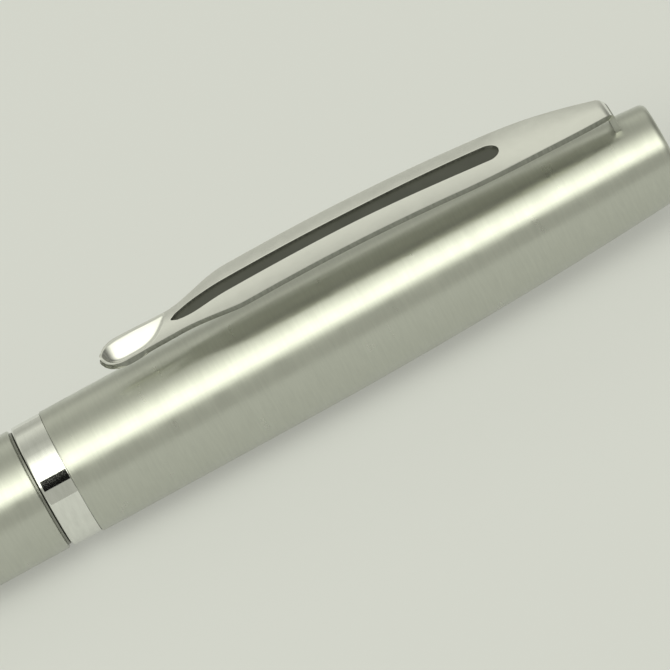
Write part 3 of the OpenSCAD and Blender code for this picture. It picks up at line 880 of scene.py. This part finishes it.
def dress_frame():
    """Gives each CAD node the material of its slot."""
    slots = {s["node"]: s["material_slot"] for s in frame["record"]["subparts"]}
    for name, node in frame["nodes"].items():
        material = MATERIALS[slots[name]]
        if not node.data.materials:
            node.data.materials.append(material)
        for index in range(len(node.material_slots)):
            node.material_slots[index].material = material


dress_frame()


# ---------------------------------------------------------------- stage, light and camera

TILT = math.radians(35)      # how steeply the camera looks down
ROLL = math.radians(28.6)    # turn of the camera about its own axis


def make_floor():
    """Plain pale floor, a little below the pen."""
    reach = 4.0      # metres from its middle to each side
    gap = 0.6
    bm = bmesh.new()
    bmesh.ops.create_grid(bm, x_segments=1, y_segments=1, size=reach)
    mesh = bpy.data.meshes.new("floor")
    bm.to_mesh(mesh)
    bm.free()
    floor = bpy.data.objects.new("floor", mesh)
    bpy.context.scene.collection.objects.link(floor)
    floor.location = (PEN_L * MM / 2, 0, (-CAP_R - gap) * MM)
    mat, _, shader, _ = new_material("floor")
    shader.inputs["Base Color"].default_value = (0.365, 0.37, 0.37, 1)
    shader.inputs["Emission Color"].default_value = (0.985, 1.0, 0.9, 1)
    shader.inputs["Emission Strength"].default_value = 0.295
    shader.inputs["Roughness"].default_value = 0.9
    shader.inputs["Specular IOR Level"].default_value = 0.1
    mesh.materials.append(mat)


def dome_light(tree, add, angle):
    """Colour of the studio dome by angle, from the front over the top to the back."""
    view = math.degrees(TILT)
    stops = [(0, 0.47), (view - 2, 0.47), (view + 2, 1.9), (view + 7, 2.7), (view + 20, 2.7),
             (view + 30, 2.2), (view + 40, 1.55), (view + 50, 1.05), (view + 60, 0.62), (view + 74, 0.48),
             (view + 85, 0.52), (view + 94, 0.62), (view + 102, 0.72), (view + 110, 0.75),
             (view + 118, 0.58), (view + 126, 0.48), (180, 0.56)]
    top = 3.0
    levels = add("ShaderNodeValToRGB")
    elements = levels.color_ramp.elements
    elements.remove(elements[-1])
    for i, (degrees, value) in enumerate(stops):
        element = elements[0] if i == 0 else elements.new(degrees / 180)
        element.position = degrees / 180
        element.color = (value / top, value / top, value / top, 1)
    tree.links.new(ramp(tree, add, angle, 0, 1, start=0, end=math.pi), levels.inputs["Fac"])
    tint = add("ShaderNodeVectorMath", operation="MULTIPLY")
    tint.inputs[1].default_value = (0.985 * top, top, 0.88 * top)
    tree.links.new(levels.outputs["Color"], tint.inputs[0])
    return tint.outputs[0]


def lens_shadow(tree, add, x, angle):
    """Share of the dome's light left by the dark lens, a small patch above the front: 1 beside it."""
    half_width, half_height = 0.07, math.radians(9.5)
    dark = 0.015
    middle = maths(tree, add, "COMPARE", x, 0, half_width)
    level = maths(tree, add, "COMPARE", angle, TILT, half_height)
    patch = maths(tree, add, "MULTIPLY", middle, level)
    return maths(tree, add, "MULTIPLY_ADD", patch, dark - 1, 1)


def make_world():
    """Studio dome: a long soft light from the front to overhead, pale walls, darker past the cap's end."""
    world = bpy.data.worlds.new("studio")
    bpy.context.scene.world = world
    world.use_nodes = True
    tree = world.node_tree
    add = node_adder(tree)
    place = add("ShaderNodeTexCoord")
    split = add("ShaderNodeSeparateXYZ")
    tree.links.new(place.outputs["Generated"], split.inputs[0])
    x = split.outputs["X"]
    front = maths(tree, add, "MULTIPLY", split.outputs["Y"], -1)
    angle = maths(tree, add, "ARCTAN2", split.outputs["Z"], front)
    past_cap = ramp(tree, add, x, 1, 0.35, start=0.35, end=0.75, easing="SMOOTHSTEP")
    shade = add("ShaderNodeVectorMath", operation="SCALE")
    both = maths(tree, add, "MULTIPLY", lens_shadow(tree, add, x, angle), past_cap)
    tree.links.new(dome_light(tree, add, angle), shade.inputs[0])
    tree.links.new(both, shade.inputs["Scale"])
    background = tree.nodes["Background"]
    tree.links.new(shade.outputs[0], background.inputs["Color"])
    background.inputs["Strength"].default_value = 1.0


def make_camera():
    """Long lens across the pen, tilted and rolled as the object is seen, framed on the cap."""
    distance = 600 * MM
    field = 52.6 * MM
    frame_x = (SEAM_X + 26.06) * MM
    frame_drop = 0.51 * MM
    data = bpy.data.cameras.new("camera")
    data.sensor_width = 36
    data.lens = data.sensor_width * distance / field
    data.clip_start = 0.01
    data.clip_end = 20
    camera = bpy.data.objects.new("camera", data)
    bpy.context.scene.collection.objects.link(camera)
    bpy.context.scene.camera = camera
    back = Vector((0, -math.cos(TILT), math.sin(TILT)))
    up = Vector((0, math.sin(TILT), math.cos(TILT)))
    along = Vector((1, 0, 0))
    right = along * math.cos(ROLL) - up * math.sin(ROLL)
    camera_up = along * math.sin(ROLL) + up * math.cos(ROLL)
    camera.location = along * frame_x - up * frame_drop + back * distance
    camera.rotation_mode = "QUATERNION"
    camera.rotation_quaternion = Matrix((right, camera_up, back)).transposed().to_quaternion()


make_floor()
make_world()
make_camera()
bpy.context.scene.view_settings.view_transform = "Standard"
